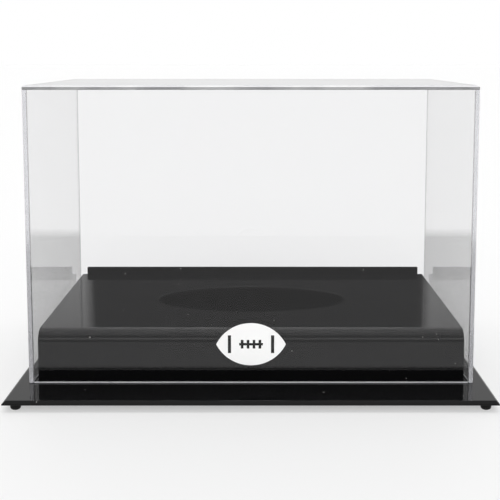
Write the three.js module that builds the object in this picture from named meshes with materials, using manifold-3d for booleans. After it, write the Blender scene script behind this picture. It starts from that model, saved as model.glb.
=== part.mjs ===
// A football display case: a clear acrylic cover that lifts off a black acrylic base.
// Units are millimetres and +Z is up. The origin is the centre of the whole case's footprint,
// on the surface that the feet stand on. The front of the case faces -Y.

import * as THREE from "three";
import { mergeVertices } from "three/addons/utils/BufferGeometryUtils.js";
import Module from "manifold-3d";

const wasm = await Module();
wasm.setup();

// ---- Driving dimensions ----

const sheet = 3; // thickness of every acrylic sheet
const gap = 0.3; // space left where two cemented or resting faces meet
const filmGap = 0.1; // space between the decal's film and the panel it sticks to

const coverWidth = 320;
const coverDepth = 222;
const coverHeight = 214;

const footHeight = 5;
const footRadius = 3.75;
const footFlatRadius = 1.5;
const footRoundSteps = 6; // from the flat contact face up to the foot's side
const footSegments = 32;
const footInset = 8.1; // from the plate's lower edges to the foot's centre

const sideMargin = 8.5; // plate's top face, outside the cover, left and right
const frontMargin = 40; // and in front, where a nameplate would go
const rearMargin = 8;
const bevelReach = 2.2; // how far the plate's edge slopes out towards its underside
const edgeLand = 0.9; // upright part of the edge below the slope

const riserWidth = 308;
const riserHeight = 38; // above the plate
const riserSetback = 1; // from the cover's front wall to the riser's foot
const riserLean = 1; // how far the front leg's top leans back from its foot
const bendRadius = 10; // outside radius where the front leg turns into the top
const bendSegments = 16;
const riserRearSpace = 5.7; // from the riser's top to the cover's rear wall

const cutoutLength = 152; // oval hole that the ball's belly sits in
const cutoutWidth = 92;
const cutoutSegments = 48; // along each half of it

const backPanelWidth = 300;
const backPanelRise = 6; // how far it stands above the riser's top

const emblemLength = 50;
const emblemHeight = 31;
const emblemFilm = 0.3;
const emblemCentreHeight = 29; // above the plate
const emblemSegments = 32; // along each of its two arcs
const laceLength = 17;
const laceThickness = 1.9;
const laceCount = 4;
const laceStitch = 6.4;
const stripeWidth = 2.3;
const stripeOffset = 15.5; // from the emblem's centre to each stripe

// ---- Levels and depths worked out from them ----

const plateTop = footHeight + sheet;
const coverBottom = plateTop + gap;
const coverTop = plateTop + coverHeight;
const riserBottom = plateTop + gap;
const riserTop = plateTop + riserHeight;

const plateTopWidth = coverWidth + 2 * sideMargin;
const plateTopDepth = frontMargin + coverDepth + rearMargin;
const plateWidth = plateTopWidth + 2 * bevelReach;
const plateDepth = plateTopDepth + 2 * bevelReach;

const coverFront = -plateTopDepth / 2 + frontMargin;
const coverRear = coverFront + coverDepth;
const riserFront = coverFront + sheet + riserSetback;
const riserRear = coverRear - sheet - riserRearSpace;
const riserCentre = (coverFront + coverRear) / 2;

// ---- Finishes: colour, roughness and opacity ----

const clearAcrylic = { color: 0xe9eef0, roughness: 0.05, transparent: true, opacity: 0.3 };
const blackAcrylic = { color: 0x0b0b0c, roughness: 0.08 };
const whiteVinyl = { color: 0xf7f7f5, roughness: 0.5 };
const blackRubber = { color: 0x151515, roughness: 0.6 };

const model = new THREE.Group();

function addPart(name, geometry, finish) {
  const mesh = new THREE.Mesh(geometry, new THREE.MeshStandardMaterial({ ...finish, metalness: 0 }));
  mesh.name = name;
  model.add(mesh);
  return mesh;
}

// A box given by its lowest and highest corners.
function boxBetween(low, high) {
  const size = high.map((value, axis) => value - low[axis]);
  const geometry = new THREE.BoxGeometry(...size);
  geometry.translate(...high.map((value, axis) => (value + low[axis]) / 2));
  return geometry;
}

// An outline drawn in the Y-Z plane, stretched along X between two places.
function alongX(outline, fromX, toX) {
  const geometry = new THREE.ExtrudeGeometry(outline, {
    depth: toX - fromX,
    bevelEnabled: false,
    curveSegments: bendSegments,
  });
  const axes = new THREE.Matrix4().makeBasis(
    new THREE.Vector3(0, 1, 0),
    new THREE.Vector3(0, 0, 1),
    new THREE.Vector3(1, 0, 0),
  );
  geometry.applyMatrix4(axes);
  geometry.translate(fromX, 0, 0);
  return geometry;
}

function toSolid(geometry) {
  const plain = geometry.clone();
  plain.deleteAttribute("normal");
  plain.deleteAttribute("uv");
  const merged = mergeVertices(plain);
  return new wasm.Manifold(
    new wasm.Mesh({
      numProp: 3,
      vertProperties: new Float32Array(merged.attributes.position.array),
      triVerts: new Uint32Array(merged.index.array),
    }),
  );
}

function toGeometry(solid) {
  const mesh = solid.getMesh();
  const geometry = new THREE.BufferGeometry();
  geometry.setAttribute("position", new THREE.BufferAttribute(mesh.vertProperties, 3));
  geometry.setIndex(new THREE.BufferAttribute(mesh.triVerts, 1));
  geometry.computeVertexNormals();
  return geometry;
}

// ---- Cover: four walls with a lid laid over their top edges, cemented into one shell ----

function addCoverPanels() {
  const x = coverWidth / 2;
  const wallTop = coverTop - sheet - gap;
  const panels = {
    top_panel: [
      [-x, coverFront, coverTop - sheet],
      [x, coverRear, coverTop],
    ],
    left_panel: [
      [-x, coverFront, coverBottom],
      [-x + sheet, coverRear, wallTop],
    ],
    right_panel: [
      [x - sheet, coverFront, coverBottom],
      [x, coverRear, wallTop],
    ],
    front_panel: [
      [-x + sheet + gap, coverFront, coverBottom],
      [x - sheet - gap, coverFront + sheet, wallTop],
    ],
    back_panel: [
      [-x + sheet + gap, coverRear - sheet, coverBottom],
      [x - sheet - gap, coverRear, wallTop],
    ],
  };
  for (const [name, [low, high]] of Object.entries(panels)) {
    addPart(name, boxBetween(low, high), clearAcrylic);
  }
}

// ---- Emblem: a plain football pictogram cut from white film, on the front wall ----

// Two circular arcs that meet in points at the left and right ends.
function ballOutline() {
  const halfLength = emblemLength / 2;
  const halfHeight = emblemHeight / 2;
  const arcRadius = (halfLength ** 2 + halfHeight ** 2) / (2 * halfHeight);
  const reach = Math.asin(halfLength / arcRadius);
  const points = [];
  for (const side of [1, -1]) {
    for (let i = 0; i < emblemSegments; i += 1) {
      const angle = reach - (2 * reach * i) / emblemSegments;
      const height = arcRadius * Math.cos(angle) - (arcRadius - halfHeight);
      points.push(new THREE.Vector2(side * arcRadius * Math.sin(angle), side * height));
    }
  }
  return new THREE.Shape(points);
}

// The bars cut out of the film: two stripes, the lace and the stitches across it.
function emblemCuts() {
  const pitch = laceLength / laceCount;
  const stripeHeight = emblemHeight / 2 - stripeWidth;
  const cuts = [[0, laceLength, laceThickness]];
  for (let i = 0; i < laceCount; i += 1) {
    cuts.push([pitch * (i + 0.5) - laceLength / 2, laceThickness, laceStitch]);
  }
  for (const side of [-1, 1]) {
    cuts.push([side * stripeOffset, stripeWidth, stripeHeight]);
  }
  return cuts;
}

function addEmblem() {
  const film = { depth: emblemFilm, bevelEnabled: false };
  let solid = toSolid(new THREE.ExtrudeGeometry(ballOutline(), film));
  for (const [x, width, height] of emblemCuts()) {
    const low = [x - width / 2, -height / 2, -emblemFilm];
    const high = [x + width / 2, height / 2, 2 * emblemFilm];
    solid = solid.subtract(toSolid(boxBetween(low, high)));
  }
  const geometry = toGeometry(solid);
  geometry.rotateX(Math.PI / 2);
  geometry.translate(0, coverFront - filmGap, plateTop + emblemCentreHeight);
  addPart("emblem_decal", geometry, whiteVinyl);
}

// ---- Base plate: one sheet whose edge slopes outwards on all four sides ----

function addBasePlate() {
  const levels = [
    [footHeight, plateWidth, plateDepth],
    [footHeight + edgeLand, plateWidth, plateDepth],
    [plateTop, plateTopWidth, plateTopDepth],
  ];
  const corners = [
    [-1, -1],
    [1, -1],
    [1, 1],
    [-1, 1],
  ];
  const sides = corners.length;
  const points = levels.flatMap(([z, width, depth]) =>
    corners.map(([x, y]) => [(x * width) / 2, (y * depth) / 2, z]),
  );
  const faces = [0, 2, 1, 0, 3, 2];
  for (let level = 0; level < levels.length - 1; level += 1) {
    for (let side = 0; side < sides; side += 1) {
      const a = level * sides + side;
      const b = level * sides + ((side + 1) % sides);
      faces.push(a, b, b + sides, a, b + sides, a + sides);
    }
  }
  const top = (levels.length - 1) * sides;
  faces.push(top, top + 1, top + 2, top, top + 2, top + 3);
  const geometry = new THREE.BufferGeometry();
  geometry.setAttribute("position", new THREE.Float32BufferAttribute(points.flat(), 3));
  geometry.setIndex(faces);
  geometry.computeVertexNormals();
  addPart("base_plate", geometry, blackAcrylic);
}

// ---- Riser: a sheet bent down at the front, closed by end and back panels ----

// The front leg's outside face, then the bend, then the top, as seen from the end.
// inset moves the line inwards, square to the sheet.
function riserLine(inset) {
  const radius = bendRadius - inset;
  const leanAngle = Math.atan(riserLean / (riserHeight - bendRadius));
  const centreY = riserFront + riserLean + bendRadius;
  const centreZ = riserTop - bendRadius;
  const footY = riserFront + inset / Math.cos(leanAngle);
  const line = [new THREE.Vector2(footY, riserBottom)];
  for (let i = 0; i <= bendSegments; i += 1) {
    const angle = Math.PI - leanAngle - ((Math.PI / 2 - leanAngle) * i) / bendSegments;
    line.push(
      new THREE.Vector2(centreY + radius * Math.cos(angle), centreZ + radius * Math.sin(angle)),
    );
  }
  line.push(new THREE.Vector2(riserRear, riserTop - inset));
  return line;
}

function addRiserShell() {
  const outer = riserLine(0);
  const inner = riserLine(sheet).reverse();
  const bent = alongX(new THREE.Shape([...outer, ...inner]), -riserWidth / 2, riserWidth / 2);

  const oval = new THREE.Shape();
  oval.absellipse(0, riserCentre, cutoutLength / 2, cutoutWidth / 2, 0, 2 * Math.PI, false);
  const hole = new THREE.ExtrudeGeometry(oval, {
    depth: 3 * sheet,
    bevelEnabled: false,
    curveSegments: cutoutSegments,
  });
  hole.translate(0, 0, riserTop - 2 * sheet);
  addPart("riser_shell", toGeometry(toSolid(bent).subtract(toSolid(hole))), blackAcrylic);
}

function addRiserEnds() {
  const rearCorner = new THREE.Vector2(riserRear, riserBottom);
  const outline = new THREE.Shape([...riserLine(sheet + gap), rearCorner]);
  const outside = riserWidth / 2;
  addPart("riser_left_end", alongX(outline, -outside, -outside + sheet), blackAcrylic);
  addPart("riser_right_end", alongX(outline, outside - sheet, outside), blackAcrylic);
}

// Closes the riser's rear and stands a little above its top, as a stop behind the ball.
function addRiserBack() {
  const low = [-backPanelWidth / 2, riserRear + gap, riserBottom];
  const high = [backPanelWidth / 2, riserRear + gap + sheet, riserTop + backPanelRise];
  addPart("riser_back_panel", boxBetween(low, high), blackAcrylic);
}

// ---- Feet: four round rubber bumpers stuck under the plate's corners ----

function footGeometry() {
  const top = footHeight - gap;
  const profile = [new THREE.Vector2(0, 0), new THREE.Vector2(footFlatRadius, 0)];
  const roundRadius = footRadius - footFlatRadius;
  for (let i = 1; i <= footRoundSteps; i += 1) {
    const angle = (Math.PI / 2) * (i / footRoundSteps);
    profile.push(
      new THREE.Vector2(
        footFlatRadius + roundRadius * Math.sin(angle),
        roundRadius * (1 - Math.cos(angle)),
      ),
    );
  }
  profile.push(new THREE.Vector2(footRadius, top), new THREE.Vector2(0, top));
  const geometry = new THREE.LatheGeometry(profile, footSegments);
  geometry.rotateX(Math.PI / 2);
  return geometry;
}

function addFeet() {
  const x = plateWidth / 2 - footInset;
  const y = plateDepth / 2 - footInset;
  const places = {
    foot_front_left: [-x, -y],
    foot_front_right: [x, -y],
    foot_rear_left: [-x, y],
    foot_rear_right: [x, y],
  };
  for (const [name, [footX, footY]] of Object.entries(places)) {
    addPart(name, footGeometry(), blackRubber).position.set(footX, footY, 0);
  }
}

addCoverPanels();
addEmblem();
addBasePlate();
addRiserShell();
addRiserEnds();
addRiserBack();
addFeet();

export default model;
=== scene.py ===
"""A football display case: a clear acrylic cover over a glossy black base with a raised platform.

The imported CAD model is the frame. This script gives its parts their finished shapes and materials,
then adds the studio: a pale floor, a soft sky, three soft lights and the camera.
"""

import math

import bmesh
import bpy
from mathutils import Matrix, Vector


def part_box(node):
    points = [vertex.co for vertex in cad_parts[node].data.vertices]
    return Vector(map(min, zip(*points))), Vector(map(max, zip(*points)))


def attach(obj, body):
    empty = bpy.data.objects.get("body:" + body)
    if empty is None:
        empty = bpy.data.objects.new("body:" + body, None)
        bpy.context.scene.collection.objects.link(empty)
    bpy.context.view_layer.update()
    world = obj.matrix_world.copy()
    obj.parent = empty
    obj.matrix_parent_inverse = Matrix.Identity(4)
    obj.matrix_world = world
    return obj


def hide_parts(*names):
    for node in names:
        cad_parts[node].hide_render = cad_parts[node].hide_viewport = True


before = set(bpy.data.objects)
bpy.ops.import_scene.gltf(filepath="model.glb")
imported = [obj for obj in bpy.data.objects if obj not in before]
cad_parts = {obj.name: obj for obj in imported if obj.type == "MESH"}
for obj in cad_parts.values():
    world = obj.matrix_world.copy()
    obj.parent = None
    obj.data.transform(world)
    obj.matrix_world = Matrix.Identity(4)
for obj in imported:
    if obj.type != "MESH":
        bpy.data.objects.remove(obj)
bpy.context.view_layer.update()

MM = 0.001

# ---- Finished details, in metres ----

SEAM = 0.05 * MM  # air left in a cemented joint, and under what stands on the plate
POLISH = 0.25 * MM  # rounding of a polished sheet edge
CUT_POLISH = 0.4 * MM  # rounding of the riser's bent sheet and its oval hole
CUT_POLISH_STEPS = 3
SHARP_ANGLE = 35  # degrees: only sharper edges are rounded
BEVEL_ANGLE = 20  # the same for the plate, whose slope meets its top at a low angle
CHAMFER = 0.6 * MM  # along the lower edges of the cover's walls
LID_CHAMFER = 1.0 * MM  # along the lid's upper edges
BEND_RADIUS = 10 * MM  # outside of the riser's bend
BEND_STEPS = 24
RISER_LEAN = 1 * MM  # how far the front leg's top leans back from its foot
CUTOUT_LENGTH = 152 * MM
CUTOUT_WIDTH = 92 * MM
CUTOUT_STEPS = 160
EDGE_LAND = 0.9 * MM  # upright part of the plate's edge, below its slope
BEVEL_REACH = 2.2 * MM  # how far the slope runs in
FOOT_FLAT = 1.5 * MM  # radius of a foot's contact face
FOOT_STEPS = 48  # round a foot
FOOT_ROUND_STEPS = 8  # from its contact face up to its side

# ---- Colours, as linear red, green, blue and alpha ----

CLEAR_COLOUR = (0.988, 0.988, 0.991, 1)
CLEAR_SHADOW = (0.94, 0.94, 0.945, 1)  # what lamps keep of their light on the way through
POLISHED_COLOURS = ((0.82, 0.82, 0.85, 1), (0.92, 0.92, 0.95, 1))
POLISHED_SHADOW = (0.7, 0.72, 0.74, 1)
# The lid's milled sides take dark tones: painted shade.
LID_EDGE_SHADE_TONES = (0.32, 0.52)
# The walls' milled lower edges and the lid's chamfer take pale tones: a painted highlight.
EDGE_HIGHLIGHT_TONES = (0.86, 0.98)
MILLED_SHADOW = (0.5, 0.52, 0.54, 1)
BLACK_COLOUR = (0.0025, 0.0025, 0.0027, 1)
DUST_COLOUR = (0.34, 0.335, 0.32, 1)
FILM_COLOURS = ((0.9, 0.9, 0.895, 1), (0.95, 0.95, 0.945, 1))
RUBBER_COLOURS = ((0.004, 0.004, 0.004, 1), (0.011, 0.011, 0.011, 1))
ACRYLIC_IOR = 1.49

# ---- Studio, in metres and degrees ----

CAMERA_AHEAD = 0.7706  # in front of the cover's front wall
CAMERA_ABOVE = 0.2342  # above the plate's top
CAMERA_ASIDE = 0.0049  # to the right of the middle
CAMERA_TILT = 7.19  # below level
CAMERA_LENS = 79.2  # millimetres
CAMERA_SENSOR = 36  # millimetres across
CAMERA_SHIFT = (-0.0157, -0.11)
CAMERA_REACH = 200  # how far it sees
LIGHT_BOUNCES = 32  # light runs along inside a clear sheet by many reflections
FLOOR_SIZE = 60
FLOOR_WHITE = 0.4
FLOOR_GLOW = 0.455  # so that the case hardly shades it
TABLE_GREY = 0.39  # what the gloss mirrors of the floor near the case
SWEEP_GREY = 0.85  # and of the floor behind that
TABLE_EDGE = (0.6, 0.68)  # behind the case, where the one turns into the other
LAMP_WIDTH = 50
LAMPS = (  # name, tilt from overhead towards the viewer, strength
    ("key_light", 10, 1.15),
    ("front_light", 70, 2.6),
    ("rear_light", -65, 1.4),
)
FLAG_WIDTH = 0.151  # tangent of the half width of a dark flag, low behind the case
FLAG_FADE = 0.01
FLAG_SHARE = 0.065  # of the sky that still shows past it
FLAG_FOOT = (4, 8)  # how high up the flag fades in
FLAG_HEAD = (16, 24)  # and out
SKY = (  # angle over the case from behind to in front, and how bright the sky is there
    (0, 0.82),
    (4, 0.82),
    (8, 0.52),
    (16, 0.45),
    (30, 0.62),
    (50, 0.75),
    (86, 0.75),
    (98, 0.4),
    (118, 0.4),
    (124, 0.0),
    (141, 0.0),
    (145, 0.75),
    (154, 0.75),
    (161, 0.015),
    (180, 0.015),
)


# ---- Mesh helpers ----


def new_piece(name, bm, material, body, *nodes):
    """A finished mesh object that stands for CAD nodes and rides on their body."""
    bmesh.ops.recalc_face_normals(bm, faces=bm.faces)
    mesh = bpy.data.meshes.new(name)
    bm.to_mesh(mesh)
    bm.free()
    piece = bpy.data.objects.new(name, mesh)
    bpy.context.scene.collection.objects.link(piece)
    mesh.materials.append(material)
    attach(piece, body)
    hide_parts(*nodes)
    return piece


def round_edges(piece, width, segments=2, angle=SHARP_ANGLE):
    """Rounds every sharp edge a little and shades the result smooth."""
    bevel = piece.modifiers.new("polish", "BEVEL")
    bevel.width = width
    bevel.segments = segments
    bevel.limit_method = "ANGLE"
    bevel.angle_limit = math.radians(angle)
    bevel.harden_normals = True
    for face in piece.data.polygons:
        face.use_smooth = True


def plate_top():
    """The height of the base plate's top face."""
    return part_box("base_plate")[1].z


def box_mesh(low, high):
    """A closed box between two corners."""
    bm = bmesh.new()
    bmesh.ops.create_cube(bm, size=1)
    for vert in bm.verts:
        vert.co = [high[i] if vert.co[i] > 0 else low[i] for i in range(3)]
    return bm


def block_mesh(low, high, levels):
    """A closed block of rings, from the bottom up. Each level is a height and how far it is drawn in.

    Returns the mesh, its lower and upper faces, and the side faces between each two levels.
    """
    half = (high - low) / 2
    middle = (high + low) / 2
    bm = bmesh.new()
    rings = []
    for z, inset in levels:
        x, y = half.x - inset, half.y - inset
        corners = [(-x, -y), (x, -y), (x, y), (-x, y)]
        rings.append([bm.verts.new((middle.x + cx, middle.y + cy, z)) for cx, cy in corners])
    lower = bm.faces.new(reversed(rings[0]))
    upper = bm.faces.new(rings[-1])
    bands = []
    for below, above in zip(rings, rings[1:]):
        band = []
        for i in range(4):
            j = (i + 1) % 4
            band.append(bm.faces.new((below[i], below[j], above[j], above[i])))
        bands.append(band)
    return bm, lower, upper, bands


def prism(outline, depth_axis, start, end):
    """A closed solid: a flat outline of 2D points, stretched between two places on one axis."""
    bm = bmesh.new()

    def place(point, along):
        coords = list(point)
        coords.insert(depth_axis, along)
        return bm.verts.new(coords)

    near = [place(p, start) for p in outline]
    far = [place(p, end) for p in outline]
    bm.faces.new(near)
    bm.faces.new(reversed(far))
    count = len(outline)
    for i in range(count):
        j = (i + 1) % count
        bm.faces.new((near[j], near[i], far[i], far[j]))
    return bm


# ---- Material helpers ----


def new_material(name):
    """A material with an empty node tree and a Principled shader on its output."""
    material = bpy.data.materials.new(name)
    material.use_nodes = True
    tree = material.node_tree
    tree.nodes.clear()
    out = tree.nodes.new("ShaderNodeOutputMaterial")
    shader = tree.nodes.new("ShaderNodeBsdfPrincipled")
    tree.links.new(shader.outputs["BSDF"], out.inputs["Surface"])
    return material, tree, shader, out


def object_coords(tree, scale=(1, 1, 1)):
    """Object-space coordinates in metres, stretched by scale."""
    coords = tree.nodes.new("ShaderNodeTexCoord")
    mapping = tree.nodes.new("ShaderNodeMapping")
    mapping.inputs["Scale"].default_value = scale
    tree.links.new(coords.outputs["Object"], mapping.inputs["Vector"])
    return mapping.outputs["Vector"]


def noise(tree, vector, scale, detail=4, roughness=0.55):
    """A noise value from 0 to 1."""
    node = tree.nodes.new("ShaderNodeTexNoise")
    node.inputs["Scale"].default_value = scale
    node.inputs["Detail"].default_value = detail
    node.inputs["Roughness"].default_value = roughness
    tree.links.new(vector, node.inputs["Vector"])
    return node.outputs["Fac"]


def remap(tree, value, span, result):
    """value moved from one range to another, and held inside it."""
    node = tree.nodes.new("ShaderNodeMapRange")
    node.inputs["From Min"].default_value = span[0]
    node.inputs["From Max"].default_value = span[1]
    node.inputs["To Min"].default_value = result[0]
    node.inputs["To Max"].default_value = result[1]
    tree.links.new(value, node.inputs["Value"])
    return node.outputs["Result"]


def maths(tree, operation, a, b=0.0):
    """A Math node on two outputs or numbers."""
    node = tree.nodes.new("ShaderNodeMath")
    node.operation = operation
    for socket, source in zip(node.inputs, (a, b)):
        if isinstance(source, (int, float)):
            socket.default_value = source
        else:
            tree.links.new(source, socket)
    return node.outputs["Value"]


def blend(tree, factor, number, output):
    """A number where the factor is 0, and an output where it is 1."""
    node = tree.nodes.new("ShaderNodeMix")
    node.data_type = "FLOAT"
    node.inputs["A"].default_value = number
    tree.links.new(factor, node.inputs["Factor"])
    tree.links.new(output, node.inputs["B"])
    return node.outputs["Result"]


def mottle(tree, shader, factor, colours):
    """Lets the base colour wander between two colours."""
    tone = tree.nodes.new("ShaderNodeMix")
    tone.data_type = "RGBA"
    tone.inputs["A"].default_value = colours[0]
    tone.inputs["B"].default_value = colours[1]
    tree.links.new(factor, tone.inputs["Factor"])
    tree.links.new(tone.outputs["Result"], shader.inputs["Base Color"])


def bump(tree, height, strength, distance):
    """A bump normal from a height."""
    node = tree.nodes.new("ShaderNodeBump")
    node.inputs["Strength"].default_value = strength
    node.inputs["Distance"].default_value = distance
    tree.links.new(height, node.inputs["Height"])
    return node.outputs["Normal"]


def specks(tree, vector, scale, radius, share):
    """1 inside sparse round specks, 0 elsewhere. share is how many cells have one."""
    cells = tree.nodes.new("ShaderNodeTexVoronoi")
    cells.inputs["Scale"].default_value = scale
    tree.links.new(vector, cells.inputs["Vector"])
    inside = maths(tree, "LESS_THAN", cells.outputs["Distance"], radius)
    split = tree.nodes.new("ShaderNodeSeparateColor")
    tree.links.new(cells.outputs["Color"], split.inputs["Color"])
    chosen = maths(tree, "LESS_THAN", split.outputs["Red"], share)
    return maths(tree, "MULTIPLY", inside, chosen)


def hairlines(tree, stretch, scale, width):
    """1 on long fine scratches that run along one axis, 0 elsewhere."""
    middle = 0.5  # of the noise, whose contour there becomes the scratch
    value = noise(tree, object_coords(tree, stretch), scale, detail=2)
    distance = maths(tree, "ABSOLUTE", maths(tree, "SUBTRACT", value, middle))
    return maths(tree, "LESS_THAN", distance, width)


def roughen(tree, shader, value, result, span=(0.3, 0.7)):
    """Lets the roughness follow a noise."""
    tree.links.new(remap(tree, value, span, result), shader.inputs["Roughness"])


def ripple(tree, shader, height, strength, distance):
    """Bends the surface a little by a height."""
    tree.links.new(bump(tree, height, strength, distance), shader.inputs["Normal"])


# ---- Materials ----


def let_lamps_through(tree, shader, out, tint):
    """Clear sheet casts almost no shadow: lamps shine through it, dimmed by tint."""
    light_path = tree.nodes.new("ShaderNodeLightPath")
    clear = tree.nodes.new("ShaderNodeBsdfTransparent")
    clear.inputs["Color"].default_value = tint
    mix = tree.nodes.new("ShaderNodeMixShader")
    tree.links.new(light_path.outputs["Is Shadow Ray"], mix.inputs["Fac"])
    tree.links.new(shader.outputs["BSDF"], mix.inputs[1])
    tree.links.new(clear.outputs["BSDF"], mix.inputs[2])
    tree.links.new(mix.outputs["Shader"], out.inputs["Surface"])


def clear_acrylic():
    """Polished clear sheet: bends light, with faint handling haze and a slow surface wave."""
    material, tree, shader, out = new_material("clear_acrylic")
    shader.inputs["Base Color"].default_value = CLEAR_COLOUR
    shader.inputs["IOR"].default_value = ACRYLIC_IOR
    shader.inputs["Transmission Weight"].default_value = 1.0
    vector = object_coords(tree)
    smudge = noise(tree, vector, scale=9.0, detail=6)
    roughen(tree, shader, smudge, span=(0.5, 0.75), result=(0.0, 0.004))
    wave = noise(tree, vector, scale=14.0, detail=1)
    ripple(tree, shader, wave, strength=0.02, distance=0.1 * MM)
    let_lamps_through(tree, shader, out, CLEAR_SHADOW)
    return material


def polished_edge():
    """The flame-polished end of a clear sheet: smooth, with a faint cool grey from the sheet's depth."""
    material, tree, shader, out = new_material("polished_edge")
    shader.inputs["IOR"].default_value = ACRYLIC_IOR
    shader.inputs["Transmission Weight"].default_value = 0.85
    vector = object_coords(tree)
    mottle(tree, shader, noise(tree, vector, scale=45.0), POLISHED_COLOURS)
    flow = noise(tree, object_coords(tree, (1, 1, 0.2)), scale=500.0, detail=2)
    roughen(tree, shader, flow, result=(0.1, 0.22))
    ripple(tree, shader, flow, strength=0.05, distance=0.03 * MM)
    let_lamps_through(tree, shader, out, POLISHED_SHADOW)
    return material


def milled_edge(name, tones, clarity):
    """The machined, unpolished end of a clear sheet: milky patches, and the cutter's fine lines. Its
    overall tone comes from tones, which paint shade or a highlight into it.
    """
    material, tree, shader, out = new_material(name)
    shader.inputs["IOR"].default_value = ACRYLIC_IOR
    shader.inputs["Transmission Weight"].default_value = clarity
    vector = object_coords(tree)
    lines = noise(tree, object_coords(tree, (900, 900, 40)), scale=1.0, detail=2)
    dull, bright = tones
    patches = remap(tree, noise(tree, vector, scale=30.0), span=(0.42, 0.62), result=(0, 1))
    cool_dull = (dull, dull, 1.03 * dull, 1)
    cool_bright = (bright, bright, 1.01 * bright, 1)
    mottle(tree, shader, patches, (cool_dull, cool_bright))
    roughen(tree, shader, lines, result=(0.3, 0.5))
    ripple(tree, shader, lines, strength=0.3, distance=0.05 * MM)
    let_lamps_through(tree, shader, out, MILLED_SHADOW)
    return material


def black_acrylic():
    """Glossy black sheet with sparse dust, hairline scratches and slightly uneven polish."""
    material, tree, shader, _ = new_material("black_acrylic")
    shader.inputs["IOR"].default_value = ACRYLIC_IOR
    vector = object_coords(tree)
    dust = specks(tree, vector, scale=60.0, radius=0.034, share=0.3)
    lint = specks(tree, vector, scale=170.0, radius=0.06, share=0.1)
    dirt = maths(tree, "MAXIMUM", dust, lint)
    mottle(tree, shader, dirt, (BLACK_COLOUR, DUST_COLOUR))
    scratches = hairlines(tree, stretch=(3, 260, 260), scale=6.0, width=0.0025)
    cloud = noise(tree, vector, scale=16.0, detail=5)
    haze = remap(tree, cloud, span=(0.35, 0.75), result=(0.015, 0.06))
    scuff = maths(tree, "MULTIPLY", scratches, 0.12)
    rough = maths(tree, "ADD", haze, scuff)
    tree.links.new(maths(tree, "MAXIMUM", rough, dirt), shader.inputs["Roughness"])
    wave = noise(tree, vector, scale=6.0, detail=1)
    ripple(tree, shader, wave, strength=0.01, distance=0.15 * MM)
    return material


def white_film():
    """Matt white vinyl with a fine orange-peel surface."""
    material, tree, shader, _ = new_material("white_film")
    vector = object_coords(tree)
    grain = noise(tree, vector, scale=900.0, detail=3)
    mottle(tree, shader, noise(tree, vector, scale=60.0), FILM_COLOURS)
    roughen(tree, shader, grain, result=(0.38, 0.5))
    ripple(tree, shader, grain, strength=0.2, distance=0.03 * MM)
    return material


def black_rubber():
    """Satin black polyurethane bumper with a moulded grain."""
    material, tree, shader, _ = new_material("black_rubber")
    shader.inputs["Specular IOR Level"].default_value = 0.25
    grain = noise(tree, object_coords(tree), scale=1400.0, detail=4)
    mottle(tree, shader, grain, RUBBER_COLOURS)
    roughen(tree, shader, grain, result=(0.38, 0.55))
    ripple(tree, shader, grain, strength=0.3, distance=0.05 * MM)
    return material


CLEAR = clear_acrylic()
POLISHED = polished_edge()
# Lit and shaded copies of one milled finish: painted shade on the lid's sides, a painted highlight on
# the walls' lower edges and the lid's chamfer.
LID_EDGE_PAINTED_SHADE = milled_edge("lid_edge_painted_shade", LID_EDGE_SHADE_TONES, clarity=0.45)
MILLED_EDGE_PAINTED_HIGHLIGHT = milled_edge("milled_edge_painted_highlight", EDGE_HIGHLIGHT_TONES, clarity=0.3)
BLACK = black_acrylic()
WHITE = white_film()
RUBBER = black_rubber()


# ---- Cover ----


def make_cover():
    """Four walls under a lid. The front and back walls fit between the side walls."""
    left_low, left_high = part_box("left_panel")
    right_low, right_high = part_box("right_panel")
    top_low, top_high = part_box("top_panel")
    make_lid(top_low, top_high)
    bottom = plate_top() + SEAM
    top = top_low.z - SEAM
    side_spans = {
        "left_panel": (left_low.x, left_high.x),
        "right_panel": (right_low.x, right_high.x),
        "front_panel": (left_high.x + SEAM, right_low.x - SEAM),
        "back_panel": (left_high.x + SEAM, right_low.x - SEAM),
    }
    for node, (left, right) in side_spans.items():
        low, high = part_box(node)
        make_wall(node, Vector((left, low.y, bottom)), Vector((right, high.y, top)))


def make_lid(low, high):
    """A flat sheet with milled edges all round, darkened as painted shade, and a scraped chamfer along
    the top of them, made pale by a painted highlight.
    """
    levels = [(low.z, 0), (high.z - LID_CHAMFER, 0), (high.z, LID_CHAMFER)]
    bm, _, _, bands = block_mesh(low, high, levels)
    # Slot 1, the lid's sides, takes the milled finish darkened as painted shade; slot 2, its chamfer,
    # takes the one lightened as a painted highlight.
    for slot, band in enumerate(bands, 1):
        for face in band:
            face.material_index = slot
    piece = new_piece("clear_top_panel", bm, CLEAR, "cover", "top_panel")
    piece.data.materials.append(LID_EDGE_PAINTED_SHADE)
    piece.data.materials.append(MILLED_EDGE_PAINTED_HIGHLIGHT)
    round_edges(piece, POLISH)


def make_wall(node, low, high):
    """An upright sheet: polished ends, and a milled lower edge with a chamfer, made pale by a painted
    highlight.
    """
    levels = [(low.z, CHAMFER), (low.z + CHAMFER, 0), (high.z, 0)]
    bm, lower, upper, (chamfers, sides) = block_mesh(low, high, levels)
    lower.material_index = 1
    upper.material_index = 2
    for face in chamfers:
        face.material_index = 1
    ends = sides[1::2] if high.x - low.x > high.y - low.y else sides[0::2]
    for face in ends:
        face.material_index = 2
    piece = new_piece("clear_" + node, bm, CLEAR, "cover", node)
    # The lower edge and its chamfer take the milled finish lightened as a painted highlight.
    piece.data.materials.append(MILLED_EDGE_PAINTED_HIGHLIGHT)
    piece.data.materials.append(POLISHED)
    round_edges(piece, POLISH)


# ---- Base plate ----


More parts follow.
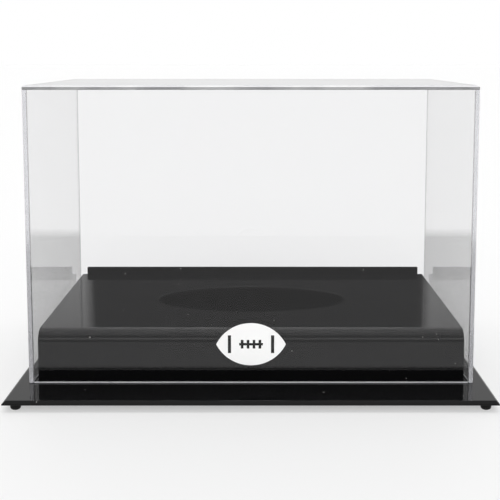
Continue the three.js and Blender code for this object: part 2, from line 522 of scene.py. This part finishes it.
def make_plate():
    """One sheet whose four edges slope outwards to a short upright land."""
    low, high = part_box("base_plate")
    levels = [(low.z, 0), (low.z + EDGE_LAND, 0), (high.z, BEVEL_REACH)]
    bm, *_ = block_mesh(low, high, levels)
    piece = new_piece("bevelled_plate", bm, BLACK, "base", "base_plate")
    round_edges(piece, POLISH, angle=BEVEL_ANGLE)


# ---- Riser ----


def riser_line(inset, low, high):
    """The front leg, the bend and the top of the riser's sheet, as (y, z) points."""
    radius = BEND_RADIUS - inset
    upright = high.z - low.z - BEND_RADIUS
    lean = math.atan2(RISER_LEAN, upright)
    centre_y = low.y + RISER_LEAN + BEND_RADIUS
    centre_z = high.z - BEND_RADIUS
    points = [(low.y + inset / math.cos(lean), low.z)]
    for i in range(BEND_STEPS + 1):
        angle = math.pi - lean - (math.pi / 2 - lean) * i / BEND_STEPS
        points.append((centre_y + radius * math.cos(angle), centre_z + radius * math.sin(angle)))
    points.append((high.y, high.z - inset))
    return points


def make_riser():
    """The bent sheet with its oval hole, the two end panels and the back panel."""
    low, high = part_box("riser_shell")
    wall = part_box("riser_back_panel")
    low.z = wall[0].z = plate_top() + SEAM
    thickness = wall[1].y - wall[0].y
    outline = riser_line(0, low, high) + riser_line(thickness, low, high)[::-1]
    shell = new_piece(
        "riser_bent_sheet", prism(outline, 0, low.x, high.x), BLACK, "base", "riser_shell"
    )
    cut_oval(shell, high)
    round_edges(shell, CUT_POLISH, segments=CUT_POLISH_STEPS)
    for side in ("left", "right"):
        make_riser_end(side, thickness)
    piece = new_piece("riser_rear_stop", box_mesh(*wall), BLACK, "base", "riser_back_panel")
    round_edges(piece, POLISH)


def cut_oval(shell, high):
    """Cuts the oval that the ball sits in through the riser's top."""
    cover_low, cover_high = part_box("top_panel")
    centre_y = (cover_low.y + cover_high.y) / 2
    oval = []
    for i in range(CUTOUT_STEPS):
        angle = 2 * math.pi * i / CUTOUT_STEPS
        x = CUTOUT_LENGTH / 2 * math.cos(angle)
        oval.append((x, centre_y + CUTOUT_WIDTH / 2 * math.sin(angle)))
    reach = BEND_RADIUS
    bm = prism(oval, 2, high.z - reach, high.z + reach)
    bmesh.ops.recalc_face_normals(bm, faces=bm.faces)
    mesh = bpy.data.meshes.new("oval_cutter")
    bm.to_mesh(mesh)
    bm.free()
    cutter = bpy.data.objects.new("oval_cutter", mesh)
    bpy.context.scene.collection.objects.link(cutter)
    cut = shell.modifiers.new("oval", "BOOLEAN")
    cut.operation = "DIFFERENCE"
    cut.solver = "EXACT"
    cut.object = cutter
    bpy.context.view_layer.update()
    graph = bpy.context.evaluated_depsgraph_get()
    finished = bpy.data.meshes.new_from_object(shell.evaluated_get(graph))
    shell.modifiers.clear()
    shell.data = finished
    bpy.data.objects.remove(cutter)


def make_riser_end(side, thickness):
    """A flat panel that closes one end of the riser, under its bent sheet."""
    node = "riser_" + side + "_end"
    low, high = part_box(node)
    shell_low, shell_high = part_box("riser_shell")
    low.z = shell_low.z = plate_top() + SEAM
    inset = shell_high.z - high.z
    line = riser_line(inset, shell_low, shell_high)
    line[-1] = (high.y, high.z)
    outline = line + [(high.y, low.z)]
    piece = new_piece(
        "riser_" + side + "_cheek", prism(outline, 0, low.x, high.x), BLACK, "base", node
    )
    round_edges(piece, POLISH)


# ---- Feet ----


def make_feet():
    """Four round bumpers: a flat contact face, a rounded shoulder and a straight side."""
    for end in ("front", "rear"):
        for side in ("left", "right"):
            make_foot("foot_" + end + "_" + side)


def make_foot(node):
    """Rings from the contact face up the round shoulder, then one at the plate."""
    low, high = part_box(node)
    centre = (low + high) / 2
    radius = (high.x - low.x) / 2
    shoulder = radius - FOOT_FLAT
    profile = [(FOOT_FLAT, low.z)]
    for i in range(1, FOOT_ROUND_STEPS + 1):
        angle = math.pi / 2 * i / FOOT_ROUND_STEPS
        reach = FOOT_FLAT + shoulder * math.sin(angle)
        profile.append((reach, low.z + shoulder * (1 - math.cos(angle))))
    profile.append((radius, high.z))
    bm = bmesh.new()
    rings = []
    for distance, z in profile:
        ring = []
        for i in range(FOOT_STEPS):
            angle = 2 * math.pi * i / FOOT_STEPS
            x = centre.x + distance * math.cos(angle)
            ring.append(bm.verts.new((x, centre.y + distance * math.sin(angle), z)))
        rings.append(ring)
    bm.faces.new(rings[0])
    bm.faces.new(rings[-1])
    for below, above in zip(rings, rings[1:]):
        for i in range(FOOT_STEPS):
            j = (i + 1) % FOOT_STEPS
            bm.faces.new((below[i], below[j], above[j], above[i]))
    piece = new_piece("bumper_" + node, bm, RUBBER, "base", node)
    round_edges(piece, POLISH)


# ---- Emblem ----


def finish_emblem():
    """The CAD film is the right shape, so it only takes its material."""
    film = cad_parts["emblem_decal"]
    film.data.materials.clear()
    film.data.materials.append(WHITE)


make_cover()
make_plate()
make_riser()
make_feet()
finish_emblem()


# ---- Studio ----


def make_camera():
    """In front of the case and above it, looking down a little."""
    data = bpy.data.cameras.new("camera")
    data.sensor_width = CAMERA_SENSOR
    data.lens = CAMERA_LENS
    data.shift_x, data.shift_y = CAMERA_SHIFT
    data.clip_end = CAMERA_REACH
    camera = bpy.data.objects.new("camera", data)
    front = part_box("front_panel")[0].y
    camera.location = (CAMERA_ASIDE, front - CAMERA_AHEAD, plate_top() + CAMERA_ABOVE)
    camera.rotation_euler = (math.radians(90 - CAMERA_TILT), 0, 0)
    bpy.context.scene.collection.objects.link(camera)
    bpy.context.scene.camera = camera


def indirect(tree):
    """0 for what is seen directly or through clear sheet, 1 for what is mirrored or only gives light."""
    path = tree.nodes.new("ShaderNodeLightPath")
    bounces = maths(tree, "MAXIMUM", path.outputs["Glossy Depth"], path.outputs["Diffuse Depth"])
    return remap(tree, bounces, span=(0, 1), result=(0, 1))


def floor_material():
    """White where it is seen. Where it is mirrored, an even grey table with a paler sweep behind it."""
    material, tree, shader, _ = new_material("floor")
    split = tree.nodes.new("ShaderNodeSeparateXYZ")
    tree.links.new(object_coords(tree), split.inputs["Vector"])
    table = remap(tree, split.outputs["Y"], span=TABLE_EDGE, result=(TABLE_GREY, SWEEP_GREY))
    mirrored = indirect(tree)
    seen = maths(tree, "SUBTRACT", 1.0, mirrored)
    tree.links.new(maths(tree, "MULTIPLY", seen, FLOOR_WHITE), shader.inputs["Base Color"])
    glow = blend(tree, mirrored, FLOOR_GLOW, table)
    tree.links.new(glow, shader.inputs["Emission Strength"])
    shader.inputs["Emission Color"].default_value = (1, 1, 1, 1)
    shader.inputs["Roughness"].default_value = 1.0
    shader.inputs["Specular IOR Level"].default_value = 0.0
    return material


def make_floor():
    """A wide flat floor under the feet."""
    bm = bmesh.new()
    bmesh.ops.create_grid(bm, x_segments=1, y_segments=1, size=FLOOR_SIZE / 2)
    mesh = bpy.data.meshes.new("floor")
    bm.to_mesh(mesh)
    bm.free()
    floor = bpy.data.objects.new("floor", mesh)
    bpy.context.scene.collection.objects.link(floor)
    mesh.materials.append(floor_material())


def make_lamp(name, tilt, strength):
    """A soft distant light that the gloss doesn't mirror."""
    data = bpy.data.lights.new(name, "SUN")
    data.angle = math.radians(LAMP_WIDTH)
    data.energy = strength
    light = bpy.data.objects.new(name, data)
    light.rotation_euler.x = math.radians(tilt)
    light.visible_glossy = False
    light.visible_transmission = False
    bpy.context.scene.collection.objects.link(light)


def sky_ramp(tree, turn):
    """How bright the mirrored sky is at an angle over the case, as SKY says."""
    ramp = tree.nodes.new("ShaderNodeValToRGB")
    ramp.color_ramp.interpolation = "EASE"
    stops = ramp.color_ramp.elements
    while len(stops) < len(SKY):
        stops.new(1.0)
    for stop, (degrees, bright) in zip(stops, SKY):
        stop.position = degrees / 180
        stop.color = (bright, bright, bright, 1)
    along = remap(tree, turn, span=(0, math.pi), result=(0, 1))
    tree.links.new(along, ramp.inputs["Fac"])
    return ramp.outputs["Color"]


def past_flag(tree, split, turn):
    """FLAG_SHARE on the dark flag, 1 clear of it."""
    aside = maths(tree, "DIVIDE", split.outputs["X"], split.outputs["Y"])
    reach = maths(tree, "ABSOLUTE", aside)
    edge = (FLAG_WIDTH, FLAG_WIDTH + FLAG_FADE)
    beside = remap(tree, reach, span=edge, result=(FLAG_SHARE, 1))
    below = remap(tree, turn, span=[math.radians(a) for a in FLAG_FOOT], result=(1, 0))
    above = remap(tree, turn, span=[math.radians(a) for a in FLAG_HEAD], result=(0, 1))
    return maths(tree, "MAXIMUM", maths(tree, "MAXIMUM", below, above), beside)


def make_sky():
    """White where it is seen. What the gloss mirrors is SKY, with a dark flag low behind the case."""
    world = bpy.data.worlds.new("studio")
    bpy.context.scene.world = world
    world.use_nodes = True
    tree = world.node_tree
    tree.nodes.clear()
    out = tree.nodes.new("ShaderNodeOutputWorld")
    background = tree.nodes.new("ShaderNodeBackground")
    background.inputs["Color"].default_value = (1, 1, 1, 1)
    tree.links.new(background.outputs["Background"], out.inputs["Surface"])
    coords = tree.nodes.new("ShaderNodeTexCoord")
    split = tree.nodes.new("ShaderNodeSeparateXYZ")
    tree.links.new(coords.outputs["Generated"], split.inputs["Vector"])
    turn = maths(tree, "ARCTAN2", split.outputs["Z"], split.outputs["Y"])
    sky = maths(tree, "MULTIPLY", sky_ramp(tree, turn), past_flag(tree, split, turn))
    strength = blend(tree, indirect(tree), 1.0, sky)
    tree.links.new(strength, background.inputs["Strength"])


def set_light_paths():
    """Enough bounces for thick clear sheets, no caustics, and plain colours."""
    scene = bpy.context.scene
    scene.view_settings.view_transform = "Standard"
    scene.cycles.caustics_reflective = False
    scene.cycles.caustics_refractive = False
    scene.cycles.max_bounces = LIGHT_BOUNCES
    scene.cycles.glossy_bounces = LIGHT_BOUNCES
    scene.cycles.transmission_bounces = LIGHT_BOUNCES
    scene.cycles.transparent_max_bounces = LIGHT_BOUNCES


make_camera()
make_floor()
make_sky()
for lamp in LAMPS:
    make_lamp(*lamp)
set_light_paths()
